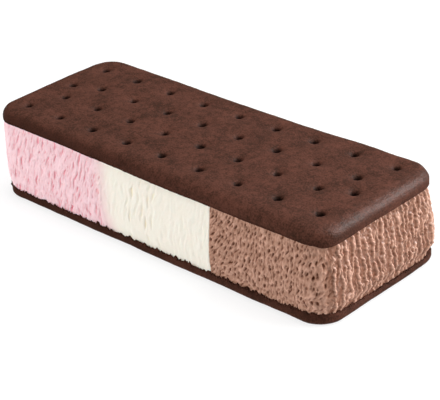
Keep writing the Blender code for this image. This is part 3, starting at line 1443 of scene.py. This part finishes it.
@dataclass
class Studio:
    """The floor, the soft lights and the camera."""

    azimuth: float = 45.0
    elevation: float = 27.9
    roll: float = -3.6
    distance: float = 0.3952
    target: Tuple[float, float] = (0.0297, -0.0246)
    lens: float = 129.8
    sensor: float = 36.0
    nearest: float = 0.01
    ambient: float = 0.3
    floor_half: float = 3.0
    lamps: Tuple[Lamp, ...] = (
        Lamp("overhead", 130.0, 78.0, 0.7, 0.6, 4.3),
        Lamp("right_key", 124.0, 32.0, 0.7, 0.35, 4.2, glossy=False),
        Lamp("left_key", -48.0, 14.0, 0.7, 0.25, 2.25, glossy=False),
        Lamp("shine", 138.0, 32.0, 0.7, 0.36, 21.5, diffuse=False),
    )

    def camera(self) -> None:
        """Put up the camera and make it the scene's own."""
        data = bpy.data.cameras.new("camera")
        data.lens = self.lens
        data.sensor_width = self.sensor
        data.clip_start = self.nearest
        data.dof.use_dof = False
        camera = bpy.data.objects.new("camera", data)
        bpy.context.scene.collection.objects.link(camera)
        back = facing_back(self.azimuth, self.elevation)
        level = Vector((0.0, 0.0, 1.0)).cross(back).normalized()
        upright = back.cross(level)
        roll = math.radians(self.roll)
        right = level * math.cos(roll) + upright * math.sin(roll)
        up = upright * math.cos(roll) - level * math.sin(roll)
        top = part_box("wafer_top")[1][2]
        place = Vector((*self.target, top)) + back * self.distance
        turn = Matrix((right, up, back)).transposed()
        camera.matrix_world = Matrix.Translation(place) @ turn.to_4x4()
        bpy.context.scene.camera = camera

    def floor(self) -> None:
        """Lay the floor."""
        half = self.floor_half
        mesh = bpy.data.meshes.new("floor")
        corners = [(-half, -half, 0.0), (half, -half, 0.0), (half, half, 0.0), (-half, half, 0.0)]
        mesh.from_pydata(corners, [], [(0, 1, 2, 3)])
        mesh.materials.append(FloorFinish().build())
        floor = bpy.data.objects.new("floor", mesh)
        bpy.context.scene.collection.objects.link(floor)

    def world(self) -> None:
        """Fill the room with even white light."""
        world = bpy.data.worlds.new("studio")
        world.use_nodes = True
        background = world.node_tree.nodes["Background"]
        background.inputs["Color"].default_value = WHITE
        background.inputs["Strength"].default_value = self.ambient
        bpy.context.scene.world = world

    def build(self) -> None:
        """Set up the whole studio."""
        self.camera()
        self.floor()
        self.world()
        for lamp in self.lamps:
            lamp.build()
        bpy.context.scene.view_settings.view_transform = "Standard"


# ---- the sandwich ----


@dataclass
class Sandwich:
    """Both wafers, the three flavours and the crumbs along the lower rim."""

    half_gap: float = 0.15 * MM
    chocolate_bow: float = 0.5 * MM
    lower_corner: float = 7.7 * MM
    lower_rim: Rim = Rim(0.1 * MM, 0.8 * MM, -0.4 * MM, lap_start=44.0 * MM, lap_run=15.0 * MM)
    upper_rim: Rim = Rim(0.5 * MM, 1.3 * MM, 0.85 * MM, lap_start=59.0 * MM, lap_run=3.0 * MM)
    pink_base: Triple = (0.84, 0.555, 0.59)
    white_base: Triple = (0.87, 0.82, 0.715)

    def slab(self) -> Slab:
        """Read the slab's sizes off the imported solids.

        Returns:
            The slab, with each cut in the middle of the gap between two flavours.
        """
        strawberry_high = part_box("ice_cream_strawberry")[1]
        vanilla_low, vanilla_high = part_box("ice_cream_vanilla")
        chocolate_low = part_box("ice_cream_chocolate")[0]
        lower_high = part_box("wafer_bottom")[1]
        gap = self.half_gap
        return Slab(
            half_length=lower_high[0],
            half_width=lower_high[1],
            bottom=lower_high[2],
            top=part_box("wafer_top")[0][2],
            strawberry_cut=Cut(strawberry_high[0] + gap, vanilla_low[0] - gap),
            chocolate_cut=Cut(chocolate_low[0] - gap, vanilla_high[0] + gap, self.chocolate_bow),
        )

    def wafers(self) -> List[Union[Wafer, Crumbs]]:
        """Size both wafers and the crumbs between them.

        Returns:
            The makers of the lower wafer, the upper wafer and the crumbs.
        """
        finish = WaferFinish().build()
        return [
            Wafer(
                "wafer_bottom", Facing.DOWN, self.lower_rim, finish,
                back_edge=1.4 * MM, back_rise=1.2 * MM, front_edge=1.4 * MM, front_rise=1.2 * MM,
                lobe=1.3 * MM, west_lip=1.1 * MM, west_run=9.0 * MM, ragged=1.1 * MM,
                dry_from=-30.0 * MM, dry_to=61.0 * MM, corner_radius=self.lower_corner,
                hole_depth=1.0 * MM, pucker_depth=0.8 * MM,
            ),
            Wafer(
                "wafer_top", Facing.UP, self.upper_rim, finish,
                back_edge=2.3 * MM, back_rise=2.2 * MM, front_edge=4.6 * MM, front_rise=3.4 * MM,
                lobe=0.5 * MM, west_lip=-0.7 * MM, west_run=82.0 * MM, ragged=0.1 * MM,
                dry_from=-40.0 * MM, dry_to=40.0 * MM, waist=0.35 * MM, sag=0.3 * MM,
            ),
            Crumbs("wafer_bottom", self.lower_rim, finish, self.lower_corner),
        ]

    def flavours(self) -> List[Flavour]:
        """Size and colour the three flavours.

        Returns:
            The makers of strawberry, vanilla and chocolate.
        """
        slab = self.slab()
        west = Cut(-slab.half_length, -slab.half_length)
        east = Cut(slab.half_length, slab.half_length)
        pink = IceCreamFinish(
            "strawberry_ice_cream",
            crest=(0.94, 0.66, 0.70),
            base=self.pink_base,
            pit=(0.84, 0.30, 0.36),
            neighbour=self.white_base,
            pit_level=0.14,
            base_level=0.62,
            blotch=0.07,
        )
        white = IceCreamFinish(
            "vanilla_ice_cream",
            crest=(0.90, 0.855, 0.755),
            base=self.white_base,
            pit=(0.88, 0.77, 0.50),
            neighbour=self.pink_base,
            blotch=0.07,
        )
        brown = IceCreamFinish(
            "chocolate_ice_cream",
            crest=(0.625, 0.358, 0.263),
            base=(0.385, 0.197, 0.129),
            pit=(0.175, 0.058, 0.026),
            grey=(0.215, 0.125, 0.092),
            grey_share=0.45,
            scatter=0.06,
        )
        return [
            Flavour("ice_cream_strawberry", "strawberry", slab, slab.strawberry_cut, west,
                    End.ROUND, Flow.VANILLA, pink.build(), end_bulge=0.6 * MM,
                    corner_bulge=-0.6, corner_tuck=0.05 * MM, skew=0.62),
            Flavour("ice_cream_vanilla", "vanilla", slab, slab.strawberry_cut,
                    slab.chocolate_cut, End.CUT, Flow.STRAWBERRY, white.build()),
            Flavour("ice_cream_chocolate", "chocolate", slab, slab.chocolate_cut, east,
                    End.ROUND, Flow.NONE, brown.build(), end_bulge=1.1 * MM,
                    corner_bulge=0.6, corner_tuck=-0.12 * MM, skew=0.5),
        ]

    def build(self) -> None:
        """Build every piece and report it."""
        lower, upper, crumbs = self.wafers()
        for maker in (lower, upper, *self.flavours(), crumbs):
            piece = maker.build()
            triangles = sum(len(face.vertices) - 2 for face in piece.data.polygons)
            LOG.info("%s: %d triangles", piece.name, triangles)


def main() -> None:
    """Build the sandwich and the studio."""
    logging.basicConfig(level=logging.INFO, format="%(message)s", stream=sys.stdout)
    Sandwich().build()
    Studio().build()
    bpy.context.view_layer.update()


if __name__ == "__main__":
    main()
